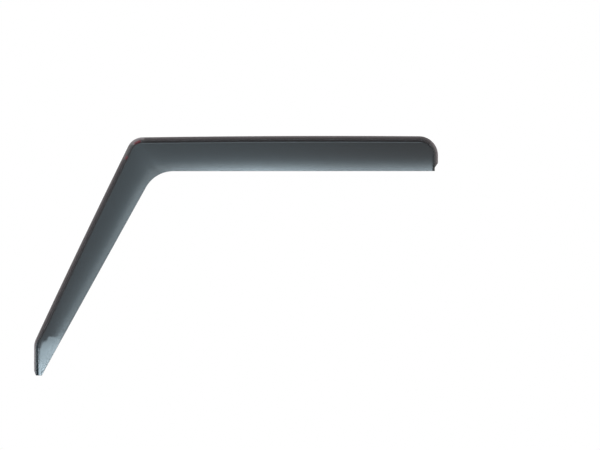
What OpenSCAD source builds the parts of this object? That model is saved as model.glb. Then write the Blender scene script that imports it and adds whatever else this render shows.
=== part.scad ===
// Window rain deflector for a front door: one smoked acrylic visor with a rail
// along the top of the window and a leg down the windscreen pillar. A narrow
// flange runs round its outer edge and carries foam tape under a release liner.
// The outline is drawn lying down, X along the rail and Y up, with the depth
// rising along Z from the face that is stuck on. It is then stood upright.

/* [Rail] */
// Length of the rail's top edge, from the outer corner to the far end
rail_l = 626; // [450:1:850]
// Height of the rail at the outer corner
rail_w = 69; // [58:0.5:85]
// How much higher the far end stands than the outer corner
rail_rise = 2.3; // [0:0.1:6]
// How much higher the free edge stands under the far end than at the crook
free_rise = 0.2; // [0:0.1:6]
// Crown of the rail's top edge, which follows the door frame
rail_crown = 1.9; // [0:0.1:6]
// Radius of the far end's top corner
end_r = 38.5; // [28:0.5:46]
// Height of the corner cut off the flange at the far end's foot
end_cut_h = 9.5; // [8:0.5:16]
// Height between that cut and the free edge
end_lip_h = 7; // [2:0.5:8]

/* [Leg] */
// Length of the leg's outer edge, from the outer corner to the toe's bend
leg_l = 467; // [350:1:600]
// Lean of the leg's outer edge from upright, in degrees
leg_lean = 25.6; // [15:0.2:35]
// Width of the leg beside the crook
leg_w = 71.8; // [60:0.2:85]
// Bow of the leg's outer edge, which follows the pillar
leg_bow = 1.3; // [0:0.1:5]
// Radius of the outer corner
corner_r = 32; // [24:1:50]
// Radius of the crook, the free edge's inner corner
crook_r = 65; // [45:1:90]

/* [Toe] */
// Length of the toe's upright edge, from the bend to the tip
toe_l = 66.5; // [55:0.5:80]
// Width of the toe at its tip
toe_w = 15.8; // [13.5:0.1:25]
// Radius of the bend between the leg and the toe
bend_r = 40; // [25:1:60]
// Length of the leg above the bend over which its face turns in
toe_turn = 33; // [20:1:50]
// Width of the flange on the toe
toe_flange_w = 4.2; // [4:0.1:6]
// Width of the step on the toe
toe_step_w = 4.6; // [4.4:0.1:5.6]
// Height of the corner cut off the flange at the tip
toe_cut_h = 9; // [4:0.5:14]
// Width of the corner cut off the flange at the tip
toe_cut_w = 3.8; // [2:0.1:3.8]

/* [Section] */
// Width of the flat flange
flange_w = 7.2; // [6.8:0.1:9]
// Width of the step between the flange and the face, seen from the front
step_w = 5.2; // [4.6:0.1:7]
// Height of the step above the flange
step_h = 8; // [6:0.5:12]
// Height of the step at the tip of the toe
toe_step_h = 4; // [3:0.5:5.5]
// Height of the rail's free edge above the flange
reach = 26.5; // [20:0.5:36]
// Height of the free edge where the toe starts
leg_reach = 17; // [12:0.5:19]
// Height of the free edge at the tip
toe_reach = 6; // [5.5:0.5:9]
// How far the face bellies out, as a share of its rise
face_belly = 0.4; // [0:0.05:0.7]
// Thickness of the wall
wall = 2.6; // [2:0.1:3.4]
// Thickness of the wall at the free edge
edge_wall = 1.8; // [1.4:0.1:2]
// Radius inside the crease between the step and the face
crease_in_r = 0.5; // [0.3:0.1:1]
// Radius in front of the flange at the foot of the step
foot_r = 0.9; // [0.5:0.1:1.2]

/* [Tape] */
// Width of the foam tape
tape_w = 6; // [5:0.1:6.4]
// Thickness of the foam tape
tape_t = 1.2; // [0.8:0.1:2]
// Width of the release liner
liner_w = 6.5; // [6.5:0.1:6.7]
// Thickness of the release liner
liner_t = 0.2; // [0.1:0.05:0.3]
// Length of bare flange at the tip of the toe
bare_toe = 51; // [30:1:80]
// Length of bare flange on the leg side of the outer corner
bare_leg = 46; // [25:1:70]
// Length of bare flange on the rail side of the outer corner
bare_rail = 22; // [21:0.5:40]
// Length of bare flange at the far end's foot
bare_end = 38; // [30:1:50]
// Length of the rail liner's pull tab, which is left loose at the corner
tab_l = 21; // [12:0.5:24]
// Length of the leg liner's pull tab
leg_tab_l = 9; // [7:0.5:14]
// Turn of the pull tabs towards the inside of the visor, in degrees
tab_turn = 20; // [10:1:35]

/* [Hidden] */

// Numbers of steps along each stretch of the outline
toe_steps = 6;
bend_steps = 5;
turn_steps = 5;
leg_steps = 8;
fan_steps = 18;
rail_steps = 10;
end_steps = 8;
// Numbers of steps across the foot's curve, the crease's curve and the face
foot_steps = 2;
crease_steps = 4;
face_steps = 8;

// Share of the toe's length over which its turn eases in
turn_ease = 0.2;
// Flange left below the cut at the far end's foot
flange_lip = 0.6;
smoke = [0.25, 0.28, 0.29];
foam_grey = [0.16, 0.16, 0.17];
liner_red = [0.62, 0.12, 0.12];

crease_r = crease_in_r + wall;
flange_top = liner_t + tape_t + wall;
corner = [0, 0];

// Arithmetic and plane geometry

function mix(a, b, t) = a + (b - a) * t;
function clamp01(t) = min(1, max(0, t));
function unit(v) = v / norm(v);
function inward(v) = [v[1], -v[0]];
function ease(t) = t * t * (3 - 2 * t);
function hump(t) = 4 * clamp01(t) * (1 - clamp01(t));
function cross_2d(a, b) = a[0] * b[1] - a[1] * b[0];

// A corner at p between the directions a and b, rounded to radius r
function half_angle(a, b) = acos(a * b) / 2;
function round_reach(a, b, r) = r / tan(half_angle(a, b));
function round_centre(p, a, b, r) = p + unit(a + b) * r / sin(half_angle(a, b));
function round_point(p, a, b, r, t) =
    let (centre = round_centre(p, a, b, r))
    let (from = p + a * round_reach(a, b, r) - centre)
    let (sweep = (180 - 2 * half_angle(a, b)) * sign(cross_2d(b, a)))
    let (turn = atan2(from[1], from[0]) + sweep * t)
    centre + r * [cos(turn), sin(turn)];

// The outline's straight lines
rail_dir = unit([rail_l, rail_rise]);
free_dir = unit([rail_l, free_rise]);
leg_dir = [-sin(leg_lean), -cos(leg_lean)];
leg_in = inward(-leg_dir);
toe_dir = [0, -1];
bend = leg_l * leg_dir;
tip = bend + toe_l * toe_dir;
end_corner = [rail_l, rail_rise];
crook = [(leg_w - rail_w * sin(leg_lean)) / cos(leg_lean), -rail_w];
tip_inner = tip + [toe_w, 0];
inner_dir = unit(tip_inner - crook);

// Places where one stretch of the outline ends and the next begins
crook_reach = round_reach(inner_dir, free_dir, crook_r);
crook_on_leg = crook + inner_dir * crook_reach;
crook_on_rail = crook + free_dir * crook_reach;
corner_reach = round_reach(leg_dir, rail_dir, corner_r);
bend_reach = round_reach(toe_dir, -leg_dir, bend_r);
end_reach = round_reach(-rail_dir, toe_dir, end_r);
fan_on_leg = crook_on_leg * leg_dir;
fan_on_rail = crook_on_rail * rail_dir;
turn_on_leg = leg_l - toe_turn;
end_on_rail = norm(end_corner) - end_reach;

// Point of the inner line that lies square across from p, and a point's place along it
function along_inner(p) = (p - crook) * inner_dir;
function across(p) = crook + inner_dir * along_inner(p);

turn_inner = along_inner(turn_on_leg * leg_dir);
tip_inner_at = along_inner(tip_inner);

// The outer edge is bowed a little along the rail and the leg
function bowed(p) =
    p + [0, rail_crown * hump(p[0] / rail_l)] - leg_in * leg_bow * hump(p * leg_dir / leg_l);

// The stretch round the outer corner: leg, rounding and rail, by its own length
corner_arc_l = corner_r * (180 - 2 * half_angle(leg_dir, rail_dir)) * PI / 180;
fan_leg_l = fan_on_leg - corner_reach;
fan_rail_l = fan_on_rail - corner_reach;
fan_l = fan_leg_l + corner_arc_l + fan_rail_l;
function fan_point(t) =
    let (s = t * fan_l)
    s < fan_leg_l
        ? leg_dir * (fan_on_leg - s)
    : s > fan_l - fan_rail_l
        ? rail_dir * (fan_on_rail - fan_l + s)
    : round_point(corner, leg_dir, rail_dir, corner_r, (s - fan_leg_l) / corner_arc_l);

// The outer edge, from the tip round the outer corner to the far end's upright
bend_from = bend + toe_dir * bend_reach;
outer_edge = [
    for (i = [0:toe_steps - 1]) mix(tip, bend_from, i / toe_steps),
    for (i = [0:bend_steps]) round_point(bend, toe_dir, -leg_dir, bend_r, i / bend_steps),
    for (i = [1:turn_steps]) leg_dir * mix(leg_l - bend_reach, turn_on_leg, i / turn_steps),
    for (i = [1:leg_steps]) leg_dir * mix(turn_on_leg, fan_on_leg, i / leg_steps),
    for (i = [1:fan_steps]) fan_point(i / fan_steps),
    for (i = [1:rail_steps]) rail_dir * mix(fan_on_rail, end_on_rail, i / rail_steps),
    for (i = [1:end_steps]) round_point(end_corner, -rail_dir, toe_dir, end_r, i / end_steps)
];
outer = [for (p = outer_edge) bowed(p)];
last = len(outer) - 1;
fan_first = toe_steps + bend_steps + turn_steps + leg_steps;
end_first = last - end_steps;

// Inward direction square to the outer edge at each of its points
function edge_dir(i) =
    i == 0 ? -toe_dir
    : i == last ? toe_dir
    : unit(unit(outer[i + 1] - outer[i]) + unit(outer[i] - outer[i - 1]));
square_in = [for (i = [0:last]) inward(edge_dir(i))];

// The flange and the step are narrower on the toe
function toe_share(i) = clamp01(1 - (i - toe_steps) / (bend_steps + turn_steps));
function flange_at(i) = mix(flange_w, toe_flange_w, toe_share(i));
function step_at(i) = mix(step_w, toe_step_w, toe_share(i));
function crease_at(i) = outer[i] + square_in[i] * (flange_at(i) + step_at(i));

// The free edge: one point for each point of the outer edge
function rail_foot(x) = crook + free_dir * (x - crook[0]) / free_dir[0];
end_foot = rail_foot(rail_l);
function free_point(i) =
    i <= toe_steps ? mix(tip_inner, across(bend_from), i / toe_steps)
    : i < fan_first ? across(outer_edge[i])
    : i <= fan_first + fan_steps
        ? round_point(crook, inner_dir, free_dir, crook_r, (i - fan_first) / fan_steps)
    : i <= end_first ? rail_foot(outer_edge[i][0])
    : rail_foot(crease_at(i)[0]);
free_edge = [for (i = [0:last]) free_point(i)];

// Heights of the crease and of the free edge above the flange
function turn_share(i) =
    let (w = clamp01((along_inner(free_edge[i]) - turn_inner) / (tip_inner_at - turn_inner)))
    (w < turn_ease ? w * w / (2 * turn_ease) : w - turn_ease / 2) / (1 - turn_ease / 2);
function leg_share(i) =
    ease(clamp01((along_inner(free_edge[i]) - crook_reach) / (turn_inner - crook_reach)));
function crease_h(i) = mix(step_h, toe_step_h, turn_share(i));
function free_h(i) = mix(mix(reach, leg_reach, leg_share(i)), toe_reach, turn_share(i));

// The face runs from the crease to the free edge. Round the far end's corner
// it starts lower down, at the share face_from of its whole width.
function face_l(i) = norm(free_edge[i] - crease_at(i));
function face_all_l(i) = face_l(min(i, end_first));
function face_from(i) = 1 - face_l(i) / face_all_l(i);
function face_h(i, v) = mix(crease_h(i), free_h(i), v + face_belly * v * (1 - v));
function face_slope(i, v) =
    atan((free_h(i) - crease_h(i)) * (1 + face_belly * (1 - 2 * v)) / face_all_l(i));

// A point of the front: its place, the way the surface faces, and its wall
function facing(in_a, slope, rise) =
    let (v = in_a * sin(slope) + rise * cos(slope))
    unit([-v[0], -v[1], cos(slope)]);
function front_point(p, h, n, t) = [[p[0], p[1], flange_top + h], n, t];

function face_wall(v) = mix(wall, edge_wall, v);
function face_point(i, j) =
    let (v = mix(face_from(i), 1, j / face_steps))
    let (p = mix(crease_at(i), free_edge[i], j / face_steps))
    let (g = unit(free_edge[i] - crease_at(i)))
    front_point(p, face_h(i, v), facing(g, face_slope(i, v), [0, 0]), face_wall(v));

// The step's section: a hollow foot, a straight wall and a rounded crease that ends at
// the width w and the height h with the slope out. Each entry is [distance, height, slope].
function step_section(w, h, out) =
    let (crest = [w, h] + crease_r * [sin(out), -cos(out)])
    let (span = crest - [0, foot_r])
    let (bent = min(1, (foot_r + crease_r) / norm(span)))
    let (steep = atan2(span[1], span[0]) + asin(bent))
    [
        for (k = [0:foot_steps])
            let (a = steep * k / foot_steps)
            [foot_r * sin(a), foot_r * (1 - cos(a)), a],
        for (k = [0:crease_steps - 1])
            let (a = mix(steep, out, k / crease_steps))
            [crest[0] - crease_r * sin(a), crest[1] + crease_r * cos(a), a]
    ];

// Flange and step in front of the point edge, square to it along the direction g.
// face is the face's point at the crease, and trim what is cut off the flange.
function rim_points(edge, g, flange, step, trim, face_g, slope, face) =
    let (h = face[0][2] - flange_top)
    let (along = face_g * g)
    let (side = (face_g - along * g) * tan(slope))
    [
        front_point(edge + g * trim, 0, [0, 0, 1], wall),
        for (s = step_section(step, h, atan(tan(slope) * along)))
            let (k = clamp01(s[1] / h))
            front_point(edge + g * (flange + s[0]), s[1], facing(g, s[2], side * k),
                mix(wall, face[2], k))
    ];

// What is cut off the flange, at the tip's corner and at the far end's foot
function toe_trim(i) = toe_cut_w * clamp01(1 - (outer[i] - tip)[1] / toe_cut_h);
function end_trim(y) =
    (flange_w - flange_lip) * clamp01((end_foot[1] + end_lip_h + end_cut_h - y) / end_cut_h);

rows = [
    for (i = [0:last])
        let (face = [for (j = [0:face_steps]) face_point(i, j)])
        let (g = unit(free_edge[i] - crease_at(i)))
        let (slope = face_slope(i, face_from(i)))
        let (rim = rim_points(outer[i], square_in[i], flange_at(i), step_at(i), toe_trim(i),
            g, slope, face[0]))
        concat(rim, face)
];
rim_count = foot_steps + crease_steps + 2;
row_count = rim_count + face_steps + 1;

// The far end's upright wall, one row for each point of the last face line
end_rows = [
    for (k = [1:face_steps])
        let (face = rows[last][rim_count + k])
        let (edge = [rail_l, face[0][1]])
        let (slope = face_slope(last, mix(face_from(last), 1, k / face_steps)))
        rim_points(edge, [-1, 0], flange_w, step_w, end_trim(edge[1]), toe_dir, slope, face)
];

front = concat([for (r = rows) each r], [for (r = end_rows) each r]);
front_xyz = [for (p = front) p[0]];
back_xyz = [for (p = front) p[0] - p[1] * p[2]];
skin_count = len(front);

// Number of a point, by its row and its place in the row
function at_row(i, j) = i * row_count + j;
function at_end(k, j) =
    k == 0 ? at_row(last, j)
    : j == rim_count ? at_row(last, rim_count + k)
    : (last + 1) * row_count + (k - 1) * rim_count + j;

patches = concat(
    [for (i = [0:last - 1], j = [0:row_count - 2])
        [at_row(i, j), at_row(i + 1, j), at_row(i + 1, j + 1), at_row(i, j + 1)]],
    [for (k = [0:face_steps - 1], j = [0:rim_count - 1])
        [at_end(k, j), at_end(k + 1, j), at_end(k + 1, j + 1), at_end(k, j + 1)]]);

// The skin's border, once round
border = [
    for (j = [0:row_count - 1]) at_row(0, j),
    for (i = [1:last]) at_row(i, row_count - 1),
    for (j = [rim_count - 1:-1:0]) at_end(face_steps, j),
    for (k = [face_steps - 1:-1:0]) at_end(k, 0),
    for (i = [last - 1:-1:1]) at_row(i, 0)
];

function two_triangles(q) = [[q[0], q[1], q[2]], [q[0], q[2], q[3]]];
skin_faces = [for (q = patches) each two_triangles(q)];
back_faces = [for (f = skin_faces) [f[2], f[1], f[0]] + skin_count * [1, 1, 1]];
border_faces = [
    for (k = [0:len(border) - 1])
        let (a = border[k])
        let (b = border[(k + 1) % len(border)])
        each two_triangles([a, b, b + skin_count, a + skin_count])
];

// The outer edge for the tape: its points, and their places along it
edge_line = concat(outer, [end_foot]);
edge_in = concat(square_in, [[-1, 0]]);
function run_to(i) = i == 0 ? 0 : run_to(i - 1) + norm(edge_line[i] - edge_line[i - 1]);
edge_at = [for (i = [0:len(edge_line) - 1]) run_to(i)];
edge_all_l = edge_at[len(edge_at) - 1];
corner_at = edge_at[fan_first] + fan_leg_l + corner_arc_l / 2;
tape_in = (flange_w - tape_w) / 2;
liner_in = (flange_w - liner_w) / 2;

// A point inset from the outer edge, and such points from one place along it to another
function stretch(s) = max([for (i = [0:len(edge_at) - 2]) edge_at[i] <= s ? i : 0]);
function edge_point(s, inset) =
    let (i = stretch(s))
    let (t = (s - edge_at[i]) / (edge_at[i + 1] - edge_at[i]))
    mix(edge_line[i], edge_line[i + 1], t) + unit(mix(edge_in[i], edge_in[i + 1], t)) * inset;
function edge_run(from, to, inset) = [
    edge_point(from, inset),
    for (i = [0:len(edge_at) - 1])
        if (edge_at[i] > from && edge_at[i] < to) edge_line[i] + edge_in[i] * inset,
    edge_point(to, inset)
];
function reversed(list) = [for (i = [len(list) - 1:-1:0]) list[i]];

leg_strip = [bare_toe, corner_at - bare_leg];
rail_strip = [corner_at + bare_rail, edge_all_l - bare_end];

// The part's origin, half a rail length from the outer corner
origin = edge_point(corner_at + rail_l / 2, flange_w / 2);

// Stands the lying outline upright, with the origin on the liner's back
module upright() {
    rotate([90, 0, 0])
        translate([-origin[0], -origin[1], 0])
            children();
}

// A strip along the flange between two places on the outer edge
module strip(ends, inset, width, thick) {
    outer_side = edge_run(ends[0], ends[1], inset);
    inner_side = reversed(edge_run(ends[0], ends[1], inset + width));
    linear_extrude(thick)
        polygon(concat(outer_side, inner_side));
}

// A liner's loose end, which is pulled to bare the tape. It leaves the strip at
// the place s with the given heading, in degrees.
module pull_tab(s, heading, length) {
    linear_extrude(liner_t)
        translate(edge_point(s, flange_w / 2))
            rotate(heading)
                translate([-liner_w / 2, -liner_w / 2])
                    square([length + liner_w / 2, liner_w]);
}

module visor() {
    color(smoke)
        upright()
            polyhedron(
                points = concat(front_xyz, back_xyz),
                faces = concat(skin_faces, back_faces, border_faces));
}

module tape(ends) {
    color(foam_grey)
        upright()
            translate([0, 0, liner_t])
                strip(ends, tape_in, tape_w, tape_t);
}

module tape_leg() {
    tape(leg_strip);
}

module tape_rail() {
    tape(rail_strip);
}

module liner_leg() {
    color(liner_red)
        upright()
            union() {
                strip(leg_strip, liner_in, liner_w, liner_t);
                pull_tab(leg_strip[1], 90 - leg_lean - tab_turn, leg_tab_l);
            }
}

module liner_rail() {
    color(liner_red)
        upright()
            union() {
                strip(rail_strip, liner_in, liner_w, liner_t);
                pull_tab(rail_strip[0], 180 + tab_turn, tab_l);
            }
}

visor();
tape_leg();
tape_rail();
liner_leg();
liner_rail();
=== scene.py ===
"""Looks of a window rain deflector: smoked acrylic, foam tape and a red release liner."""

import math

import bpy
from bpy.props import FloatProperty, FloatVectorProperty, PointerProperty
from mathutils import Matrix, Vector


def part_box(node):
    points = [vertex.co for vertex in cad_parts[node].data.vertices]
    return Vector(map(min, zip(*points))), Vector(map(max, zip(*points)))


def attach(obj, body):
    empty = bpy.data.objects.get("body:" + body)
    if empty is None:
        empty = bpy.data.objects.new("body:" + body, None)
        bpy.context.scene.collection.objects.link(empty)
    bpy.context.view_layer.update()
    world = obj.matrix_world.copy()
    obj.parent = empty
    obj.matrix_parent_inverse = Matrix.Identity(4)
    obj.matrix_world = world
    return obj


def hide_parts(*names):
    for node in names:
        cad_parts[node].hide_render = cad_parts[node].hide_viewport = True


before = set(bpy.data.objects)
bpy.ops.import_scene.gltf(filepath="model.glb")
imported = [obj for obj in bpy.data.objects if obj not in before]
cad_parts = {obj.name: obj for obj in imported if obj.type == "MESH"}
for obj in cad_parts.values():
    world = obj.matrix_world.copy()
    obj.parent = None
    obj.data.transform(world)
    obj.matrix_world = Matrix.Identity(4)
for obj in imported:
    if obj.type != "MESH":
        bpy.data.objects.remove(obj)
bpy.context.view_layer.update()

bl_info = {
    "name": "Window Rain Deflector",
    "version": (1, 0, 0),
    "blender": (4, 5, 0),
    "location": "3D View > Sidebar > Deflector",
    "description": "Builds the looks of a smoked acrylic rain deflector for a front door",
    "category": "Add Mesh",
}

BODY = "root"
VISOR_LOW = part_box("visor")[0]

# Numbers of steps along each stretch of the outline
TOE_STEPS = 20
BEND_STEPS = 16
TURN_STEPS = 16
LEG_STEPS = 28
FAN_STEPS = 72
RAIL_STEPS = 28
END_STEPS = 28
# Numbers of steps across the foot's curve, the crease's curve and the face
FOOT_STEPS = 5
CREASE_STEPS = 9
FACE_STEPS = 26
# Numbers of points of a cross line: outside the face, and in all
RIM_COUNT = FOOT_STEPS + CREASE_STEPS + 2
ROW_COUNT = RIM_COUNT + FACE_STEPS + 1
# Length of a step along a strip, and the number of steps along a pull tab
STRIP_STEP = 0.003
TAB_STEPS = 12
# How far the tip of a pull tab has curled off the door
TAB_CURL = 0.0009
# How the liner's loose end shows: the share of it that the flange hides, and its soft edge
TAB_HIDDEN = 0.45
GLOW_FADE = 0.002
# Radius of the tape's edges, the steps of a rounding, and the turn from which an edge is rounded
TAPE_ROUND = 0.0003
ROUND_STEPS = 3
SHARP_TURN = math.radians(50)

# Where the acrylic's shades lie, most of them painted light and shade. Each pair is a stretch over
# which a shade fades in or out, and where two more numbers follow, they are the shade's shares at
# its two ends.
# Across the visor, the outer edge is 0, the foot of the step 1, the crease 2 and the free edge 3
FLANGE_FADE = (0.95, 1.15)
# RIM_LIGHT_FADE: painted light makes the flange lighter towards its outer edge
RIM_LIGHT_FADE = (0.15, 1.0)
# WALL_SHADING_BAND and WALL_SHADING_START place the painted shading of the step's wall
WALL_SHADING_BAND = ((1.0, 1.2), (1.4, 1.7))
# CREASE_HIGHLIGHT_BAND places the painted highlight along the rail's crease
CREASE_HIGHLIGHT_BAND = ((1.95, 1.99), (2.01, 2.03))
# Towards the free edge the acrylic grows clearer, and painted light lightens its colour there
THIN_LIT_EDGE_FADE = (2.5, 3.0)
# TIP_HIGHLIGHT_FACE and TIP_HIGHLIGHT_EASE place the painted highlight on the toe's face, weaker
# towards the free edge
TIP_HIGHLIGHT_FACE = (1.9, 2.1)
TIP_HIGHLIGHT_EASE = (2.3, 2.9, 1.0, 0.5)
RED_FADE = (0.4, 0.9)
# Along the visor, in metres from the tip of the toe
TIP_HIGHLIGHT_FADE = (0.0, 0.05)
WALL_SHADING_START = (0.05, 0.1)
# MIDDLE_RISE and MIDDLE_FALL: the acrylic has its full colour between them, and painted shade
# darkens it towards the toe and the far end
MIDDLE_RISE = (0.1, 0.45, 0.45, 1.0)
MIDDLE_FALL = 0.6
# In metres from either end of a run of tape, and from the start of the leg's
TAPE_FADE = (-0.003, 0.003)
BACKED_RISE = (0.0, 0.04)
# In metres from the far end's foot, and from the middle of the outer corner
END_FADE = (-0.075, -0.05)
CORNER_LIGHT_BAND = ((-0.014, -0.004), (0.004, 0.016))
# The share of its painted pale rim that the bare flange loses beside the leg, and has round the
# corner
LEG_RIM_LIGHT_LOSS = 0.5
CORNER_RIM_LIGHT = 0.8
# How clear the acrylic is on the face and at the free edge
FACE_ALPHA = 0.93
EDGE_ALPHA = 0.8
# How the gloss varies in patches: blobs to a metre, the stretch of their noise, and shares of it
GLOSS_PATCHES = 24.0
PATCH_FADE = (0.3, 0.7)
GLOSS_SPREAD = (0.85, 1.25)
# Grain of each finish: blobs to a metre, their detail, and the strength and distance of its bump
ORANGE_PEEL = (70.0, 1.0, 0.02, 0.002)
FOAM_CELLS = (2600.0, 3.0, 0.5, 0.0003)
FILM_STREAKS = (160.0, 3.0, 0.15, 0.001)
# Shares of their colour between which the foam and the film vary
FOAM_SHADES = (0.7, 1.4)
FILM_SHADES = (0.8, 1.0)

# A Mix node's colour sockets
MIX_A, MIX_B, MIX_RESULT = 6, 7, 2
# Rays that see a white surround
WHITE_FOR = ("Camera", "Glossy", "Transmission")
FLOOR_SIDES = 96
FLOOR_COLOUR = (0.86, 0.86, 0.86, 1)
# What the floor adds to its shade as the camera sees it
FLOOR_LIFT = (0.36, 0.36, 0.36)
# The round lamp in front: its centre, how much wider than high it is, the radius of the opening
# that the camera looks through, its own radius, and its steps round and outwards
RING_AT = Vector((0.0, -1.6, -0.2))
RING_WIDEN = 1.1
RING_OPENING = 0.72
RING_RADIUS = 2.2
RING_SIDES = 72
RING_STEPS = 24
# Its glow round it: the turn from the right in degrees, the glow, and the radius up to which
# that glow is even
RING_TURN = (
    (0, 1.5, 0.90), (60, 6.2, 0.88), (80, 6.3, 0.78), (97, 9.6, 0.79), (112, 7.2, 0.74),
    (127, 2.1, 0.73), (142, 2.1, 0.88), (157, 2.65, 1.07), (175, 1.9, 1.02), (270, 2.0, 0.95),
    (360, 1.5, 0.90))
# Beyond that radius it falls by half with every RING_HALF, over a faint tail
RING_HALF = 0.11
RING_TAIL = 0.7
# How the surround fades towards the sides, above and behind, as reflections see it: the stretch
# of the heading over which it fades, and the shares of its strength lost at the two ends
SIDE_LOSS = (0.86, 0.96, 0.0, 1.0)
TOP_LOSS = (0.78, 0.9, 0.0, 0.7)
BACK_LOSS = (0.3, 0.6, 0.0, 0.7)
# The lamp beside the toe: its centre, the corners round it, its glow at the bottom and the top,
# and the stretch over which it dims towards its left, with the shares at the two ends
SIDE_AT = Vector((-1.2, -1.2, -0.55))
SIDE_CORNERS = (
    (-0.08, 0.40), (0.12, 0.375), (0.24, 0.335), (0.33, 0.295), (0.46, 0.0), (0.46, -0.40),
    (-0.37, -0.40), (-0.37, -0.09), (-0.24, -0.04), (-0.12, 0.04), (-0.09, 0.15))
SIDE_GLOW = (12.0, 5.2)
SIDE_DIM = (-0.36, -0.08, 0.75, 1.0)
# The tint of both lamps
LAMP_TINT = (0.79, 1.0, 1.12)


def length(name, default, description):
    """A size in metres that the sidebar shows."""
    return FloatProperty(
        name=name, description=description, default=default, unit="LENGTH", precision=4)


def share(name, default, description):
    """A plain share from 0 to 1."""
    return FloatProperty(
        name=name, description=description, default=default, min=0, max=1, subtype="FACTOR")


def colour(name, default, description):
    """A linear colour that the sidebar shows as a swatch."""
    return FloatVectorProperty(
        name=name, description=description, default=default, size=3, min=0, max=1, subtype="COLOR")


class DeflectorSizes(bpy.types.PropertyGroup):
    """Sizes of the visor, its tape and its liner."""

    rail_l: length("Rail length", 0.626, "Top edge, from the outer corner to the far end")
    rail_w: length("Rail height", 0.069, "Height of the rail at the outer corner")
    rail_rise: length("Rail rise", 0.0023, "Height of the far end over the outer corner")
    free_rise: length("Free edge rise", 0.0002, "Rise of the free edge up to the far end")
    rail_crown: length("Rail crown", 0.0019, "Crown of the rail's top edge")
    end_r: length("End radius", 0.0385, "Radius of the far end's top corner")
    end_cut_h: length("End cut", 0.0095, "Height of the corner cut off the flange at its far end")
    end_lip_h: length("End lip", 0.007, "Height between that cut and the free edge")
    leg_l: length("Leg length", 0.467, "Leg's outer edge, from the outer corner to the toe's bend")
    leg_lean: FloatProperty(
        name="Leg lean", description="Lean of the leg's outer edge from upright",
        default=math.radians(25.6), subtype="ANGLE")
    leg_w: length("Leg width", 0.0718, "Width of the leg beside the crook")
    leg_bow: length("Leg bow", 0.0013, "Bow of the leg's outer edge")
    corner_r: length("Corner radius", 0.032, "Radius of the outer corner")
    crook_r: length("Crook radius", 0.065, "Radius of the free edge's inner corner")
    toe_l: length("Toe length", 0.0665, "Toe's upright edge, from the bend to the tip")
    toe_w: length("Toe width", 0.0158, "Width of the toe at its tip")
    bend_r: length("Bend radius", 0.040, "Radius of the bend between the leg and the toe")
    toe_turn: length("Toe turn", 0.033, "Length of leg over which its face turns into the toe's")
    toe_flange_w: length("Toe flange width", 0.0042, "Width of the flange on the toe")
    toe_step_w: length("Toe step width", 0.0046, "Width of the step on the toe")
    toe_cut_h: length("Toe cut height", 0.009, "Height of the corner cut off the flange at the tip")
    toe_cut_w: length("Toe cut width", 0.0038, "Width of the corner cut off the flange at the tip")
    flange_w: length("Flange width", 0.0072, "Width of the flat flange")
    step_w: length("Step width", 0.0052, "Width of the step, seen from the front")
    step_h: length("Step height", 0.008, "Height of the step above the flange")
    toe_step_h: length("Toe step height", 0.004, "Height of the step at the tip")
    reach: length("Reach", 0.0265, "Height of the rail's free edge above the flange")
    leg_reach: length("Leg reach", 0.017, "Height of the free edge where the toe starts")
    toe_reach: length("Toe reach", 0.006, "Height of the free edge at the tip")
    face_belly: share("Face belly", 0.4, "How far the face bellies out, as a share of its rise")
    wall: length("Wall", 0.0026, "Thickness of the wall")
    edge_wall: length("Edge wall", 0.0018, "Thickness of the wall at the free edge")
    crease_in_r: length("Crease radius", 0.0005, "Radius inside the crease")
    foot_r: length("Foot radius", 0.0009, "Radius in front of the flange at the foot of the step")
    tape_t: length("Tape thickness", 0.0012, "Thickness of the foam tape")
    liner_t: length("Liner thickness", 0.0002, "Thickness of the release liner")
    bare_toe: length("Bare toe", 0.051, "Bare flange at the tip of the toe")
    bare_leg: length("Bare leg", 0.046, "Bare flange on the leg side of the outer corner")
    bare_rail: length("Bare rail", 0.022, "Bare flange on the rail side of the outer corner")
    bare_end: length("Bare end", 0.038, "Bare flange at the far end's foot")
    tape_w: length("Tape width", 0.006, "Width of the foam tape")
    liner_w: length("Liner width", 0.0065, "Width of the release liner")
    tab_l: length("Tab length", 0.021, "Rail liner's pull tab, which is left loose at the corner")
    leg_tab_l: length("Leg tab length", 0.009, "Leg liner's pull tab")
    tab_turn: FloatProperty(
        name="Tab turn", description="Turn of the pull tabs towards the inside of the visor",
        default=math.radians(20), subtype="ANGLE")
    turn_ease: share("Turn ease", 0.2, "Share of the toe's length over which its turn eases in")
    flange_lip: length("Flange lip", 0.0006, "Flange left below the cut at the far end's foot")
    edge_round: length("Edge round", 0.0004, "Radius of the moulded edges")


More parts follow.
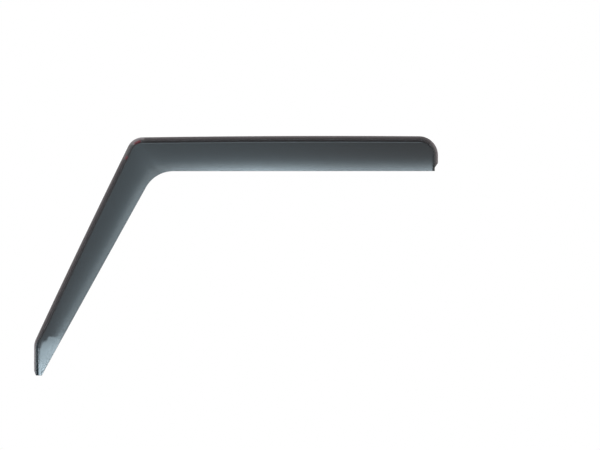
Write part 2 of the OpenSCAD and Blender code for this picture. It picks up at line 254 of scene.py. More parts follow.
class DeflectorLook(bpy.types.PropertyGroup):
    """Colours and finish of each material."""

    smoke: colour("Smoke", (0.017, 0.025, 0.029), "The acrylic's own colour beside the crook")
    # Painted shade: the acrylic's colour darkened towards the far end and the toe
    far_end_shade: colour("End shade", (0.004, 0.007, 0.009), "Painted shade of the acrylic at the far end")
    # Painted light: the acrylic's colour lightened towards the free edge
    free_edge_light: colour("Free edge light", (0.024, 0.034, 0.038), "Painted light on the acrylic at the free edge")
    # Painted highlight: a fine pale line along the rail's crease
    crease_highlight: colour(
        "Crease highlight", (0.062, 0.070, 0.074), "The fine painted highlight along the rail's crease")
    # Painted shading: the step's wall given its own lighter, redder tone
    wall_shading: colour("Wall shading", (0.036, 0.031, 0.032), "Painted shading of the step's wall")
    # Painted highlight: a pale patch on the toe's face at its tip
    tip_highlight: colour("Tip highlight", (0.135, 0.150, 0.156), "Painted highlight on the acrylic at the tip of the toe")
    backed_smoke: colour(
        "Backed smoke", (0.012, 0.006, 0.007), "The acrylic in front of the tape and the liner")
    # Painted light on the taped flange's outer rim, over the liner's red seen through
    liner_rim_light: colour("Liner rim light", (0.090, 0.069, 0.068), "The liner's red outside the tape, lightened by painted light")
    bare_smoke: colour("Bare smoke", (0.040, 0.034, 0.032), "The bare flange beside the step")
    # Painted light: the bare flange's pale outer rim
    bare_edge_light: colour("Bare edge light", (0.220, 0.170, 0.167), "Painted light on the bare flange at its outer edge")
    red_glow: colour(
        "Red glow", (0.13, 0.018, 0.024), "The liner's loose end, seen through the acrylic")
    gloss: share("Roughness", 0.07, "Roughness of the moulded acrylic")
    foam: colour("Foam", (0.045, 0.044, 0.046), "The foam tape")
    liner: colour("Liner", (0.52, 0.03, 0.035), "The release liner")


class StudioSettings(bpy.types.PropertyGroup):
    """Camera, lamps and floor."""

    view_w: length("View width", 1.230, "Width of the camera's view at the door's face")
    view_x: length("View centre across", 0.0281, "Place of the view's centre along the rail")
    view_z: length("View centre height", -0.17875, "Height of the view's centre")
    camera_away: length("Camera distance", 10.0, "Distance from the camera to the door's face")
    floor_z: length("Floor height", -0.76, "Height of the floor under the part")
    floor_r: length("Floor radius", 1.1, "Radius of the round floor")
    ambient: FloatProperty(
        name="Ambient", description="Strength of the world's light", default=0.45, min=0)


class Wire:
    """A node's output that maths can be written with: each operator adds a Math node."""

    def __init__(self, nodes, socket):
        self.nodes = nodes
        self.socket = socket

    def maths(self, operation, *values):
        """Adds a Math node with these values."""
        return self.nodes.add("ShaderNodeMath", {"operation": operation}, dict(enumerate(values)))

    def __add__(self, other):
        return self.maths("ADD", self, other)

    def __radd__(self, other):
        return self.maths("ADD", other, self)

    def __sub__(self, other):
        return self.maths("SUBTRACT", self, other)

    def __rsub__(self, other):
        return self.maths("SUBTRACT", other, self)

    def __mul__(self, other):
        return self.maths("MULTIPLY", self, other)

    def __rmul__(self, other):
        return self.maths("MULTIPLY", other, self)

    def ramp(self, low, high, low_value=0.0, high_value=1.0):
        """Runs smoothly from low_value at low to high_value at high."""
        return self.nodes.add(
            "ShaderNodeMapRange", {"interpolation_type": "SMOOTHSTEP"},
            {"Value": self, "From Min": low, "From Max": high,
             "To Min": low_value, "To Max": high_value})

    def fall(self, low, high):
        """Runs smoothly from 1 at low to 0 at high."""
        return self.ramp(low, high, 1.0, 0.0)

    def band(self, rising, falling):
        """Is 1 between two stretches, and runs up over the first and down over the second."""
        return self.ramp(*rising) * self.fall(*falling)

    def larger(self, other):
        """The larger of the two."""
        return self.maths("MAXIMUM", self, other)


class Nodes:
    """The node tree of a material, a world or a lamp, with one way to add a node."""

    def __init__(self, owner):
        owner.use_nodes = True
        self.tree = owner.node_tree
        self.tree.nodes.clear()

    def add(self, kind, settings=None, inputs=None, output=0):
        """Adds a node: its settings first, and then the values or links of its sockets."""
        node = self.tree.nodes.new(kind)
        for name, value in (settings or {}).items():
            setattr(node, name, value)
        for name, value in (inputs or {}).items():
            if isinstance(value, Wire):
                self.tree.links.new(value.socket, node.inputs[name])
            else:
                node.inputs[name].default_value = value
        return Wire(self, node.outputs[output]) if node.outputs else None

    def attribute(self, name):
        return self.add("ShaderNodeAttribute", {"attribute_name": name}, output="Fac")

    def place(self):
        return self.add("ShaderNodeTexCoord", output="Object")

    def part(self, vector, axis):
        """A vector's part along X, Y or Z."""
        return self.add("ShaderNodeSeparateXYZ", None, {0: vector}, axis)

    def mottle(self, scale, detail=2.0):
        """Noise from 0 to 1 with about scale blobs to a metre."""
        inputs = {"Vector": self.place(), "Scale": scale, "Detail": detail}
        return self.add("ShaderNodeTexNoise", None, inputs, "Fac")

    def grain(self, scale, detail, strength, distance):
        """Noise, and the bump that it makes."""
        noise = self.mottle(scale, detail)
        inputs = {"Height": noise, "Strength": strength, "Distance": distance}
        return noise, self.add("ShaderNodeBump", None, inputs)

    def mix_colour(self, factor, a, b):
        """Goes from the colour a to the colour b as the factor goes from 0 to 1."""
        a, b = (v if isinstance(v, Wire) else (*v, 1.0) for v in (a, b))
        inputs = {0: factor, MIX_A: a, MIX_B: b}
        return self.add("ShaderNodeMix", {"data_type": "RGBA"}, inputs, MIX_RESULT)


def mix(a, b, t):
    return a + (b - a) * t


def clamp01(t):
    return min(1.0, max(0.0, t))


def ease(t):
    return t * t * (3 - 2 * t)


def hump(t):
    return 4 * clamp01(t) * (1 - clamp01(t))


def moved(stretch, by):
    """A stretch moved along by a length."""
    return [at + by for at in stretch]


def turns(count):
    """Even turns round a circle."""
    return [2 * math.pi * n / count for n in range(count)]


def inward(v):
    return Vector((v.y, -v.x))


def shares(count, first=0):
    """Even shares of a stretch, from first / count up to 1."""
    return [i / count for i in range(first, count + 1)]


class Rounding:
    """A corner at p between the directions a and b, rounded to the radius r."""

    def __init__(self, p, a, b, r):
        half = math.acos(a @ b) / 2
        turn = math.pi - 2 * half
        self.radius = r
        self.reach = r / math.tan(half)
        self.arc_l = r * turn
        self.centre = p + (a + b).normalized() * (r / math.sin(half))
        spoke = p + a * self.reach - self.centre
        self.start = math.atan2(spoke.y, spoke.x)
        self.sweep = math.copysign(turn, b.cross(a))

    def point(self, t):
        angle = self.start + self.sweep * t
        return self.centre + self.radius * Vector((math.cos(angle), math.sin(angle)))


class SkinPoint:
    """A point of the visor's front: its place, the way it faces, its wall and its place across."""

    def __init__(self, flat, depth, normal, wall, across):
        self.place = Vector((flat.x, flat.y, depth))
        self.normal = normal
        self.wall = wall
        self.across = across


class VisorForm:
    """The visor's form, drawn lying down: x along the rail, y up and z towards the viewer."""

    def __init__(self, sizes):
        s = self.sizes = sizes
        self.flange_top = s.liner_t + s.tape_t + s.wall
        self.crease_r = s.crease_in_r + s.wall
        self.rail_dir = Vector((s.rail_l, s.rail_rise)).normalized()
        self.free_dir = Vector((s.rail_l, s.free_rise)).normalized()
        self.leg_dir = Vector((-math.sin(s.leg_lean), -math.cos(s.leg_lean)))
        self.toe_dir = Vector((0, -1))
        self.tip = self.leg_dir * s.leg_l + self.toe_dir * s.toe_l
        self.tip_inner = self.tip + Vector((s.toe_w, 0))
        self.crook = Vector((
            (s.leg_w - s.rail_w * math.sin(s.leg_lean)) / math.cos(s.leg_lean), -s.rail_w))
        self.inner_dir = (self.tip_inner - self.crook).normalized()
        self.end_foot = self.rail_foot(s.rail_l)
        self.origin = self.tip - Vector((VISOR_LOW.x, VISOR_LOW.z))
        self.lay_outline()
        self.measure_faces()
        self.leg_strip = (s.bare_toe, self.corner_at - s.bare_leg)
        self.rail_strip = (self.corner_at + s.bare_rail, self.all_l - s.bare_end)
        self.tabs = (
            self.tab(self.leg_strip[1], math.pi / 2 - s.leg_lean - s.tab_turn, s.leg_tab_l),
            self.tab(self.rail_strip[0], math.pi + s.tab_turn, s.tab_l))
        self.rows = [self.row(i) for i in range(len(self.outer))]
        self.end_rows = [self.end_row(k) for k in range(1, FACE_STEPS + 1)]

    def tab(self, at, heading, long):
        """A liner's loose end: its root, its direction and its length."""
        root = self.edge_point(at, self.sizes.flange_w / 2)
        return root, Vector((math.cos(heading), math.sin(heading))), long

    def along_inner(self, p):
        return (p - self.crook) @ self.inner_dir

    def across(self, p):
        """Point of the leg's free edge that lies square across from p."""
        return self.crook + self.inner_dir * self.along_inner(p)

    def rail_foot(self, x):
        """Point of the rail's free edge at x."""
        return self.crook + self.free_dir * ((x - self.crook.x) / self.free_dir.x)

    def bowed(self, p):
        s = self.sizes
        crown = Vector((0, s.rail_crown * hump(p.x / s.rail_l)))
        bow = inward(-self.leg_dir) * (s.leg_bow * hump(p @ self.leg_dir / s.leg_l))
        return p + crown - bow

    def lay_outline(self):
        """Outer edge from the tip round to the far end, with the free edge across from it."""
        s = self.sizes
        bend = Rounding(self.leg_dir * s.leg_l, self.toe_dir, -self.leg_dir, s.bend_r)
        corner = Rounding(Vector((0, 0)), self.leg_dir, self.rail_dir, s.corner_r)
        crook = Rounding(self.crook, self.inner_dir, self.free_dir, s.crook_r)
        end = Rounding(Vector((s.rail_l, s.rail_rise)), -self.rail_dir, self.toe_dir, s.end_r)
        self.crook_reach = crook.reach
        bend_from = self.leg_dir * s.leg_l + self.toe_dir * bend.reach
        turn_at = s.leg_l - s.toe_turn
        self.turn_inner = self.along_inner(self.leg_dir * turn_at)
        fan_on_leg = (self.crook + self.inner_dir * crook.reach) @ self.leg_dir
        fan_on_rail = (self.crook + self.free_dir * crook.reach) @ self.rail_dir
        fan_leg_l = fan_on_leg - corner.reach
        fan_rail_l = fan_on_rail - corner.reach
        fan_l = fan_leg_l + corner.arc_l + fan_rail_l
        end_at = Vector((s.rail_l, s.rail_rise)).length - end.reach

        def fan_point(t):
            at = t * fan_l
            if at < fan_leg_l:
                return self.leg_dir * (fan_on_leg - at)
            if at > fan_l - fan_rail_l:
                return self.rail_dir * (fan_on_rail - fan_l + at)
            return corner.point((at - fan_leg_l) / corner.arc_l)

        toe = [mix(self.tip, bend_from, t) for t in shares(TOE_STEPS)[:-1]]
        leg = [bend.point(t) for t in shares(BEND_STEPS)]
        leg += [self.leg_dir * mix(s.leg_l - bend.reach, turn_at, t) for t in shares(TURN_STEPS, 1)]
        leg += [self.leg_dir * mix(turn_at, fan_on_leg, t) for t in shares(LEG_STEPS, 1)[:-1]]
        fan = [fan_point(t) for t in shares(FAN_STEPS)]
        rail = [self.rail_dir * mix(fan_on_rail, end_at, t) for t in shares(RAIL_STEPS, 1)]
        turn = [end.point(t) for t in shares(END_STEPS, 1)]
        self.end_first = len(toe + leg + fan + rail) - 1
        self.outer = [self.bowed(p) for p in toe + leg + fan + rail + turn]
        self.square_in = [inward(self.edge_dir(i)) for i in range(len(self.outer))]

        toe_free = [mix(self.tip_inner, self.across(bend_from), t) for t in shares(TOE_STEPS)[:-1]]
        self.free = toe_free + [self.across(p) for p in leg]
        self.free += [crook.point(t) for t in shares(FAN_STEPS)]
        self.free += [self.rail_foot(p.x) for p in rail]
        last = len(self.outer)
        self.free += [self.rail_foot(self.crease(i).x) for i in range(last - len(turn), last)]

        self.along = [0.0]
        for a, b in zip(self.outer, self.outer[1:]):
            self.along.append(self.along[-1] + (b - a).length)
        fan_first = len(toe + leg)
        self.corner_at = self.along[fan_first] + fan_leg_l + corner.arc_l / 2
        self.all_l = self.along[-1] + (self.end_foot - self.outer[-1]).length

    def edge_dir(self, i):
        if i == 0:
            return -self.toe_dir
        if i == len(self.outer) - 1:
            return self.toe_dir
        before = (self.outer[i] - self.outer[i - 1]).normalized()
        after = (self.outer[i + 1] - self.outer[i]).normalized()
        return (before + after).normalized()

    def toe_share(self, i):
        return clamp01(1 - (i - TOE_STEPS) / (BEND_STEPS + TURN_STEPS))

    def flange_at(self, i):
        return mix(self.sizes.flange_w, self.sizes.toe_flange_w, self.toe_share(i))

    def step_at(self, i):
        return mix(self.sizes.step_w, self.sizes.toe_step_w, self.toe_share(i))

    def crease(self, i):
        return self.outer[i] + self.square_in[i] * (self.flange_at(i) + self.step_at(i))

    def measure_faces(self):
        """Heights of the crease and the free edge over the flange, and the face's whole width."""
        s = self.sizes
        tip_at = self.along_inner(self.tip_inner)
        self.crease_h, self.free_h, self.face_l = [], [], []
        for i, free in enumerate(self.free):
            at = self.along_inner(free)
            w = clamp01((at - self.turn_inner) / (tip_at - self.turn_inner))
            eased = w * w / (2 * s.turn_ease) if w < s.turn_ease else w - s.turn_ease / 2
            turn = eased / (1 - s.turn_ease / 2)
            leg = ease(clamp01((at - self.crook_reach) / (self.turn_inner - self.crook_reach)))
            self.crease_h.append(mix(s.step_h, s.toe_step_h, turn))
            self.free_h.append(mix(mix(s.reach, s.leg_reach, leg), s.toe_reach, turn))
            self.face_l.append((free - self.crease(i)).length)

    def face_all_l(self, i):
        return self.face_l[min(i, self.end_first)]

    def face_from(self, i):
        return 1 - self.face_l[i] / self.face_all_l(i)

    def face_slope(self, i, v):
        rise = self.free_h[i] - self.crease_h[i]
        return math.atan(rise * (1 + self.sizes.face_belly * (1 - 2 * v)) / self.face_all_l(i))

    def face_point(self, i, t):
        s = self.sizes
        v = mix(self.face_from(i), 1, t)
        crease = self.crease(i)
        height = mix(self.crease_h[i], self.free_h[i], v + s.face_belly * v * (1 - v))
        inner = (self.free[i] - crease).normalized()
        normal = self.facing(inner, self.face_slope(i, v), Vector((0, 0)))
        wall = mix(s.wall, s.edge_wall, v)
        flat = mix(crease, self.free[i], t)
        return SkinPoint(flat, self.flange_top + height, normal, wall, 2 + v)

    def facing(self, inner, slope, rise):
        """The way a surface faces that rises along inner with slope, and by rise beside it."""
        v = inner * math.sin(slope) + rise * math.cos(slope)
        return Vector((-v.x, -v.y, math.cos(slope))).normalized()

    def step_section(self, width, height, out):
        """Hollow foot, straight wall and rounded crease, as (distance, height, slope)."""
        s = self.sizes
        crest = Vector((width, height)) + self.crease_r * Vector((math.sin(out), -math.cos(out)))
        span = crest - Vector((0, s.foot_r))
        bent = min(1.0, (s.foot_r + self.crease_r) / span.length)
        steep = math.atan2(span.y, span.x) + math.asin(bent)
        section = []
        for t in shares(FOOT_STEPS):
            a = steep * t
            section.append((s.foot_r * math.sin(a), s.foot_r * (1 - math.cos(a)), a))
        for t in shares(CREASE_STEPS)[:-1]:
            a = mix(steep, out, t)
            section.append((
                crest.x - self.crease_r * math.sin(a), crest.y + self.crease_r * math.cos(a), a))
        return section

    def rim_points(self, edge, inner, flange, step, trim, face_dir, slope, face):
        """Flange and step in front of the point edge, up to the face's point at the crease."""
        height = face.place.z - self.flange_top
        along = face_dir @ inner
        side = (face_dir - inner * along) * math.tan(slope)
        section = self.step_section(step, height, math.atan(math.tan(slope) * along))
        wall = self.sizes.wall
        ahead = Vector((0, 0, 1))
        points = [SkinPoint(edge + inner * trim, self.flange_top, ahead, wall, trim / flange)]
        for n, (distance, h, a) in enumerate(section):
            k = clamp01(h / height)
            points.append(SkinPoint(
                edge + inner * (flange + distance), self.flange_top + h,
                self.facing(inner, a, side * k), mix(wall, face.wall, k), 1 + n / len(section)))
        return points

    def row(self, i):
        """The visor's cross line at the outline's point i, from the outer edge to the free edge."""
        s = self.sizes
        face = [self.face_point(i, t) for t in shares(FACE_STEPS)]
        face_dir = (self.free[i] - self.crease(i)).normalized()
        trim = s.toe_cut_w * clamp01(1 - (self.outer[i] - self.tip).y / s.toe_cut_h)
        slope = self.face_slope(i, self.face_from(i))
        rim = self.rim_points(
            self.outer[i], self.square_in[i], self.flange_at(i), self.step_at(i),
            trim, face_dir, slope, face[0])
        return rim + face

    def end_row(self, k):
        """The far end's upright wall beside the face's last line, at its point k."""
        s = self.sizes
        last = len(self.outer) - 1
        face = self.rows[last][RIM_COUNT + k]
        edge = Vector((s.rail_l, face.place.y))
        cut_from = self.end_foot.y + s.end_lip_h + s.end_cut_h
        trim = (s.flange_w - s.flange_lip) * clamp01((cut_from - edge.y) / s.end_cut_h)
        slope = self.face_slope(last, mix(self.face_from(last), 1, k / FACE_STEPS))
        return self.rim_points(
            edge, Vector((-1, 0)), s.flange_w, s.step_w, trim, self.toe_dir, slope, face)

    def upright(self, place):
        """From the lying form to the part's own frame."""
        return Vector((place.x - self.origin.x, -place.z, place.y - self.origin.y))

    def edge_point(self, at, inset):
        """Point inset from the outer edge, at a length from the tip."""
        line = self.outer + [self.end_foot]
        facing_in = self.square_in + [Vector((-1, 0))]
        places = self.along + [self.all_l]
        i = max(n for n in range(len(places) - 1) if places[n] <= at)
        t = (at - places[i]) / (places[i + 1] - places[i])
        facing = mix(facing_in[i], facing_in[i + 1], t).normalized()
        return mix(line[i], line[i + 1], t) + facing * inset


def new_object(name, vertices, faces):
    """A smooth mesh object that rides on the part's only body."""
    mesh = bpy.data.meshes.new(name)
    mesh.from_pydata([tuple(v) for v in vertices], [], faces)
    mesh.validate()
    mesh.shade_smooth()
    obj = bpy.data.objects.new(name, mesh)
    bpy.context.scene.collection.objects.link(obj)
    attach(obj, BODY)
    return obj


def add_attribute(obj, name, values):
    attribute = obj.data.attributes.new(name, "FLOAT", "POINT")
    attribute.data.foreach_set("value", values)


def visor_mesh(form):
    """Vertices and faces of the closed shell, with each vertex's place across and along it."""
    last = len(form.rows) - 1
    front = [p for row in form.rows + form.end_rows for p in row]
    along = [at for at in form.along for _ in range(ROW_COUNT)]
    for row in form.end_rows:
        along += [form.along[-1] + form.outer[-1].y - row[0].place.y] * RIM_COUNT

    def at_row(i, j):
        return i * ROW_COUNT + j

    def at_end(k, j):
        if k == 0:
            return at_row(last, j)
        if j == RIM_COUNT:
            return at_row(last, RIM_COUNT + k)
        return (last + 1) * ROW_COUNT + (k - 1) * RIM_COUNT + j

    skin = []
    for i in range(last):
        for j in range(ROW_COUNT - 1):
            skin.append((at_row(i, j), at_row(i, j + 1), at_row(i + 1, j + 1), at_row(i + 1, j)))
    for k in range(FACE_STEPS):
        for j in range(RIM_COUNT):
            skin.append((at_end(k, j), at_end(k, j + 1), at_end(k + 1, j + 1), at_end(k + 1, j)))

    border = [at_row(0, j) for j in range(ROW_COUNT)]
    border += [at_row(i, ROW_COUNT - 1) for i in range(1, last + 1)]
    border += [at_end(FACE_STEPS, j) for j in range(RIM_COUNT - 1, -1, -1)]
    border += [at_end(k, 0) for k in range(FACE_STEPS - 1, -1, -1)]
    border += [at_row(i, 0) for i in range(last - 1, 0, -1)]

    count = len(front)
    vertices = [form.upright(p.place) for p in front]
    vertices += [form.upright(p.place - p.normal * p.wall) for p in front]
    faces = skin + [tuple(n + count for n in reversed(f)) for f in skin]
    for a, b in zip(border, border[1:] + border[:1]):
        faces.append((a, a + count, b + count, b))
    return vertices, faces, [p.across for p in front] * 2, along * 2


def round_edges(obj, radius):
    """Rounds the sharp edges, with the shading of the faces beside them kept."""
    bevel = obj.modifiers.new("Edge round", "BEVEL")
    bevel.width = radius
    bevel.segments = ROUND_STEPS
    bevel.limit_method = "ANGLE"
    bevel.angle_limit = SHARP_TURN
    bevel.use_clamp_overlap = False
    bevel.harden_normals = True


def strip_sections(form, ends, inset, width):
    """Cross lines of a strip along the flange: outer point, inner point and lift off the door."""
    count = max(2, round((ends[1] - ends[0]) / STRIP_STEP))
    places = [mix(*ends, t) for t in shares(count)]
    return [(form.edge_point(at, inset), form.edge_point(at, inset + width), 0.0) for at in places]


def tab_sections(tab, travel, width):
    """The same for a pull tab, from its root; travel is its direction along the strip."""
    root, heading, long = tab
    half = inward(heading * travel) * (width / 2)
    middles = [(root + heading * (long * t), TAB_CURL * t * t) for t in shares(TAB_STEPS, 1)]
    return [(middle - half, middle + half, lift) for middle, lift in middles]


def ribbon_mesh(form, sections, low, high):
    """A thin flat ribbon through cross lines, with its thickness in depth."""
    vertices, faces = [], []
    for outer, inner, lift in sections:
        for flat, depth in ((outer, low), (inner, low), (inner, high), (outer, high)):
            vertices.append(form.upright(Vector((flat.x, flat.y, depth + lift))))
    for n in range(0, 4 * (len(sections) - 1), 4):
        for a, b in ((0, 1), (1, 2), (2, 3), (3, 0)):
            faces.append((n + a, n + b, n + 4 + b, n + 4 + a))
    end = len(vertices) - 4
    faces += [(3, 2, 1, 0), (end, end + 1, end + 2, end + 3)]
    return vertices, faces


def shades(base, parts):
    """The same colour at several shares of its strength."""
    return [[part * c for c in base] for part in parts]


def new_material(name):
    material = bpy.data.materials.new(name)
    return material, Nodes(material)


def finish_surface(nodes, inputs):
    shader = nodes.add("ShaderNodeBsdfPrincipled", None, inputs)
    nodes.add("ShaderNodeOutputMaterial", None, {"Surface": shader})


def smoked_acrylic(form, look):
    """Dark glossy acrylic, with the tape and the liner showing through its flange, painted shade
    towards the toe and the far end, painted shading on the step's wall, and painted light at the
    free edge, the tip of the toe, the rail's crease and the flange's outer rim.
    """
    material, nodes = new_material("Smoked acrylic")
    across = nodes.attribute("across")
    along = nodes.attribute("along")
    flange = across.fall(*FLANGE_FADE)
    # Painted light: the flange lighter towards its outer edge; on the bare flange this pale rim is
    # weaker beside the leg and strongest round the outer corner
    rim = across.fall(*RIM_LIGHT_FADE)
    before_end = along.fall(*moved(END_FADE, form.all_l))
    # Painted shading of the step's wall, from a little past the toe to a little before the far end
    wall = across.band(*WALL_SHADING_BAND) * before_end * along.ramp(*WALL_SHADING_START)
    # Painted highlight: a fine pale line along the rail's crease
    crease = across.band(*CREASE_HIGHLIGHT_BAND) * along.ramp(form.corner_at, form.rail_strip[0])
    to_corner, from_corner = (moved(stretch, form.corner_at) for stretch in CORNER_LIGHT_BAND)
    past_tape = along.ramp(*moved(TAPE_FADE, form.leg_strip[1]))
    beside_leg = past_tape * (1 - along.ramp(*to_corner))
    bare_rim_light = rim * (1 - LEG_RIM_LIGHT_LOSS * beside_leg)
    bare_rim_light = bare_rim_light.larger(along.band(to_corner, from_corner) * CORNER_RIM_LIGHT)
    # Painted shade: darker towards the toe and the far end, full colour in between
    middle = along.ramp(*MIDDLE_RISE) * along.fall(MIDDLE_FALL, form.all_l)
    # Towards the free edge the acrylic grows clearer, and painted light lightens its colour
    thin_lit_edge = across.ramp(*THIN_LIT_EDGE_FADE)
    # Painted highlight: a pale patch on the toe's face at its tip
    tip = along.fall(*TIP_HIGHLIGHT_FADE) * across.ramp(*TIP_HIGHLIGHT_FACE) * across.ramp(*TIP_HIGHLIGHT_EASE)
    taped = 0.0
    for ends in (form.leg_strip, form.rail_strip):
        taped = along.band(*(moved(TAPE_FADE, at) for at in ends)) + taped
    colour = nodes.mix_colour(middle, look.far_end_shade, look.smoke)
    colour = nodes.mix_colour(thin_lit_edge, colour, look.free_edge_light)
    colour = nodes.mix_colour(wall, colour, look.wall_shading)
    colour = nodes.mix_colour(crease, colour, look.crease_highlight)
    colour = nodes.mix_colour(tip, colour, look.tip_highlight)
    # Over the tape the liner's red shows through, lightened at the outer edge by painted light; the
    # bare flange gets a painted pale rim
    backed = nodes.mix_colour(rim, look.backed_smoke, look.liner_rim_light)
    bare = nodes.mix_colour(bare_rim_light, look.bare_smoke, look.bare_edge_light)
    past_toe = along.ramp(*moved(BACKED_RISE, form.leg_strip[0]))
    backed = nodes.mix_colour(taped * past_toe * before_end, bare, backed)
    colour = nodes.mix_colour(flange, colour, backed)
    red = nodes.attribute("red") * across.ramp(*RED_FADE)
    colour = nodes.mix_colour(red, colour, look.red_glow)
    finest, roughest = (look.gloss * part for part in GLOSS_SPREAD)
    rough = nodes.mottle(GLOSS_PATCHES).ramp(*PATCH_FADE, finest, roughest)
    _, bump = nodes.grain(*ORANGE_PEEL)
    finish_surface(nodes, {
        "Base Color": colour, "Roughness": rough, "IOR": 1.49, "Normal": bump,
        "Alpha": thin_lit_edge.ramp(0.0, 1.0, FACE_ALPHA, EDGE_ALPHA)})
    return material


def foam(look):
    material, nodes = new_material("Foam tape")
    cells, bump = nodes.grain(*FOAM_CELLS)
    colour = nodes.mix_colour(cells, *shades(look.foam, FOAM_SHADES))
    finish_surface(nodes, {"Base Color": colour, "Roughness": 0.92, "Normal": bump})
    return material


def liner_film(look):
    material, nodes = new_material("Release liner")
    streaks, bump = nodes.grain(*FILM_STREAKS)
    colour = nodes.mix_colour(streaks, *shades(look.liner, FILM_SHADES))
    finish_surface(nodes, {"Base Color": colour, "Roughness": 0.36, "Normal": bump})
    return material


def red_shares(form, obj):
    """How much of a liner's loose end lies behind each of the visor's points."""
    shares_at = []
    for v in obj.data.vertices:
        flat = Vector((v.co.x + form.origin.x, v.co.z + form.origin.y))
        best = 0.0
        for root, heading, long in form.tabs:
            at = flat - root
            past = max(0.0, at @ heading - long, long * TAB_HIDDEN - at @ heading)
            beside = max(0.0, abs(at.x * heading.y - at.y * heading.x) - form.sizes.liner_w / 2)
            best = max(best, ease(clamp01(1 - math.hypot(past, beside) / GLOW_FADE)))
        shares_at.append(best)
    return shares_at


class DEFLECTOR_OT_visor(bpy.types.Operator):
    """Builds the smoked visor: the rail, the leg, the toe and the flange round them"""

    bl_idname = "deflector.visor"
    bl_label = "Visor"

    def execute(self, context):
        scene = context.scene
        form = VisorForm(scene.deflector_sizes)
        vertices, faces, across, along = visor_mesh(form)
        obj = new_object("smoked_visor", vertices, faces)
        add_attribute(obj, "across", across)
        add_attribute(obj, "along", along)
        add_attribute(obj, "red", red_shares(form, obj))
        round_edges(obj, scene.deflector_sizes.edge_round)
        obj.data.materials.append(smoked_acrylic(form, scene.deflector_look))
        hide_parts("visor")
        return {"FINISHED"}


class DEFLECTOR_OT_tape(bpy.types.Operator):
    """Builds the two runs of foam tape on the flange's back"""

    bl_idname = "deflector.tape"
    bl_label = "Foam Tape"

    def execute(self, context):
        s = context.scene.deflector_sizes
        form = VisorForm(s)
        material = foam(context.scene.deflector_look)
        for name, ends in (("leg", form.leg_strip), ("rail", form.rail_strip)):
            sections = strip_sections(form, ends, (s.flange_w - s.tape_w) / 2, s.tape_w)
            vertices, faces = ribbon_mesh(form, sections, s.liner_t, s.liner_t + s.tape_t)
            obj = new_object(f"foam_tape_{name}", vertices, faces)
            obj.data.materials.append(material)
            round_edges(obj, TAPE_ROUND)
            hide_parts(f"tape_{name}")
        return {"FINISHED"}


class DEFLECTOR_OT_liner(bpy.types.Operator):
    """Builds the red release liner behind each run of tape, with its loose end"""

    bl_idname = "deflector.liner"
    bl_label = "Release Liner"

    def execute(self, context):
        s = context.scene.deflector_sizes
        form = VisorForm(s)
        material = liner_film(context.scene.deflector_look)
        inset = (s.flange_w - s.liner_w) / 2
        leg_tab, rail_tab = form.tabs
        leg = strip_sections(form, form.leg_strip, inset, s.liner_w)
        leg += tab_sections(leg_tab, 1, s.liner_w)
        rail = tab_sections(rail_tab, -1, s.liner_w)[::-1]
        rail += strip_sections(form, form.rail_strip, inset, s.liner_w)
        for name, sections in (("leg", leg), ("rail", rail)):
            vertices, faces = ribbon_mesh(form, sections, 0.0, s.liner_t)
            obj = new_object(f"release_liner_{name}", vertices, faces)
            obj.data.materials.append(material)
            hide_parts(f"liner_{name}")
        return {"FINISHED"}


def light_card(scene, name, place, vertices, faces, glow):
    """A sheet that adds its glow to the light passing it, and which the camera doesn't see."""
    mesh = bpy.data.meshes.new(name)
    mesh.from_pydata(vertices, [], faces)
    card = bpy.data.objects.new(name, mesh)
    card.location = place
    scene.collection.objects.link(card)
    material, nodes = new_material(name)
    inputs = {0: LAMP_TINT, "Scale": glow(nodes)}
    tinted = nodes.add("ShaderNodeVectorMath", {"operation": "SCALE"}, inputs)
    light = nodes.add("ShaderNodeEmission", None, {"Color": tinted})
    clear = nodes.add("ShaderNodeBsdfTransparent")
    surface = nodes.add("ShaderNodeAddShader", None, {0: light, 1: clear})
    nodes.add("ShaderNodeOutputMaterial", None, {"Surface": surface})
    mesh.materials.append(material)
    card.visible_camera = False
    card.visible_shadow = False
    return card


def ring_glow(turn, away):
    """The front lamp's glow at a turn in degrees and at a radius."""
    n = max(n for n, stop in enumerate(RING_TURN[:-1]) if stop[0] <= turn)
    (low, *before), (high, *after) = RING_TURN[n:n + 2]
    full, even = (mix(a, b, ease((turn - low) / (high - low))) for a, b in zip(before, after))
    fall = 0.5 ** (max(0.0, away - even) / RING_HALF)
    return full * fall + RING_TAIL * ease(clamp01(1 - away / RING_RADIUS))


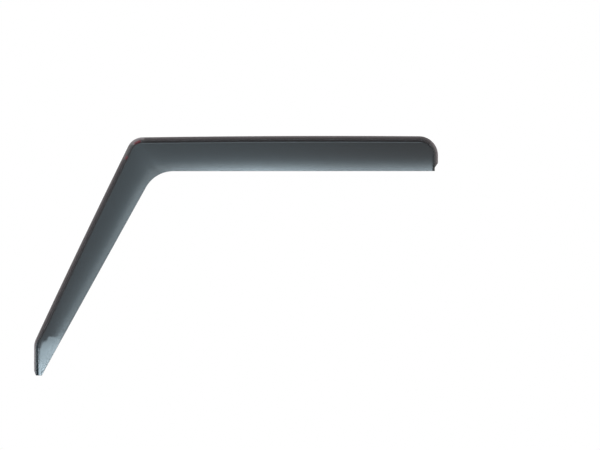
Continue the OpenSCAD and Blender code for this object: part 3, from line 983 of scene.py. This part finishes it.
class DEFLECTOR_OT_studio(bpy.types.Operator):
    """Sets the camera, the soft lamps, the white surround and the pale floor"""

    bl_idname = "deflector.studio"
    bl_label = "Studio"

    def execute(self, context):
        scene = context.scene
        scene.view_settings.view_transform = "Standard"
        self.view(scene)
        self.surround(scene)
        self.front_lamp(scene)
        self.side_lamp(scene)
        self.floor(scene)
        return {"FINISHED"}

    def view(self, scene):
        """The camera square in front of the door's face."""
        s = scene.deflector_studio
        data = bpy.data.cameras.new("Camera")
        data.lens = data.sensor_width * s.camera_away / s.view_w
        data.clip_end = 4 * s.camera_away
        camera = bpy.data.objects.new("Camera", data)
        camera.location = (s.view_x, -s.camera_away, s.view_z)
        camera.rotation_euler = (math.pi / 2, 0, 0)
        scene.collection.objects.link(camera)
        scene.camera = camera

    def surround(self, scene):
        """A world that is white to the camera and in reflections, and lights the part softly."""
        world = bpy.data.worlds.new("White surround")
        scene.world = world
        nodes = Nodes(world)
        camera_ray, glossy, transmission = [
            nodes.add("ShaderNodeLightPath", output=f"Is {kind} Ray") for kind in WHITE_FOR]
        mirrored = glossy.larger(transmission)
        heading = nodes.add("ShaderNodeTexCoord", output="Generated")
        sideways = nodes.part(heading, "X")
        loss = sideways.maths("ABSOLUTE", sideways).ramp(*SIDE_LOSS)
        loss = loss + nodes.part(heading, "Z").ramp(*TOP_LOSS)
        loss = loss + nodes.part(heading, "Y").ramp(*BACK_LOSS)
        reflected = mirrored * (1 - loss.maths("MINIMUM", loss, 1.0))
        ambient = (1 - mirrored) * scene.deflector_studio.ambient
        strength = camera_ray.larger(reflected).larger(ambient)
        background = nodes.add(
            "ShaderNodeBackground", None, {"Color": (1, 1, 1, 1), "Strength": strength})
        nodes.add("ShaderNodeOutputWorld", None, {"Surface": background})

    def floor(self, scene):
        """A round pale floor, which shows from above only."""
        s = scene.deflector_studio
        vertices = [(s.floor_r * math.cos(a), s.floor_r * math.sin(a), s.floor_z)
                    for a in turns(FLOOR_SIDES)]
        mesh = bpy.data.meshes.new("Floor")
        mesh.from_pydata(vertices, [], [range(FLOOR_SIDES)])
        floor = bpy.data.objects.new("Floor", mesh)
        scene.collection.objects.link(floor)
        material, nodes = new_material("Pale floor")
        seen = nodes.add("ShaderNodeLightPath", output="Is Camera Ray")
        below = nodes.add("ShaderNodeNewGeometry", output="Backfacing")
        finish_surface(nodes, {
            "Base Color": FLOOR_COLOUR, "Roughness": 0.8, "Alpha": 1 - below,
            "Emission Color": nodes.mix_colour(seen, (0, 0, 0), FLOOR_LIFT),
            "Emission Strength": 1.0})
        mesh.materials.append(material)

    def front_lamp(self, scene):
        """A wide soft ring round the camera's line of sight, brightest near its opening."""
        radii = [mix(RING_OPENING, RING_RADIUS, t) for t in shares(RING_STEPS)]
        angles = turns(RING_SIDES)
        vertices = [
            (RING_WIDEN * r * math.cos(a), 0, r * math.sin(a)) for r in radii for a in angles]
        glows = [ring_glow(math.degrees(a), r) for r in radii for a in angles]
        faces = []
        for k in range(RING_STEPS):
            for n in range(RING_SIDES):
                a, b = k * RING_SIDES + n, k * RING_SIDES + (n + 1) % RING_SIDES
                faces.append((a, b, b + RING_SIDES, a + RING_SIDES))

        def glow(nodes):
            return nodes.attribute("glow")

        card = light_card(scene, "Front lamp", RING_AT, vertices, faces, glow)
        add_attribute(card, "glow", glows)

    def side_lamp(self, scene):
        """A small lamp beside the toe, whose picture lies in the toe's turned face."""
        vertices = [(x, 0, z) for x, z in SIDE_CORNERS]
        heights = [z for x, z in SIDE_CORNERS]

        def glow(nodes):
            place = nodes.place()
            upwards = nodes.part(place, "Z").ramp(min(heights), max(heights), *SIDE_GLOW)
            return upwards * nodes.part(place, "X").ramp(*SIDE_DIM)

        light_card(scene, "Side lamp", SIDE_AT, vertices, [range(len(vertices))], glow)


class DEFLECTOR_PT_panel(bpy.types.Panel):
    """Lists the deflector's pieces and its sizes"""

    bl_label = "Rain Deflector"
    bl_space_type = "VIEW_3D"
    bl_region_type = "UI"
    bl_category = "Deflector"

    def draw(self, context):
        layout = self.layout
        for operator in OPERATORS:
            layout.operator(operator.bl_idname)
        scene = context.scene
        for owner in (scene.deflector_sizes, scene.deflector_look, scene.deflector_studio):
            box = layout.box()
            for name in owner.bl_rna.properties.keys():
                if name not in ("rna_type", "name"):
                    box.prop(owner, name)


OPERATORS = (DEFLECTOR_OT_visor, DEFLECTOR_OT_tape, DEFLECTOR_OT_liner, DEFLECTOR_OT_studio)
CLASSES = (DeflectorSizes, DeflectorLook, StudioSettings, *OPERATORS, DEFLECTOR_PT_panel)


def register():
    for cls in CLASSES:
        bpy.utils.register_class(cls)
    bpy.types.Scene.deflector_sizes = PointerProperty(type=DeflectorSizes)
    bpy.types.Scene.deflector_look = PointerProperty(type=DeflectorLook)
    bpy.types.Scene.deflector_studio = PointerProperty(type=StudioSettings)


def unregister():
    del bpy.types.Scene.deflector_studio
    del bpy.types.Scene.deflector_look
    del bpy.types.Scene.deflector_sizes
    for cls in reversed(CLASSES):
        bpy.utils.unregister_class(cls)


def main():
    register()
    bpy.ops.deflector.visor()
    bpy.ops.deflector.tape()
    bpy.ops.deflector.liner()
    bpy.ops.deflector.studio()


if __name__ == "__main__":
    main()
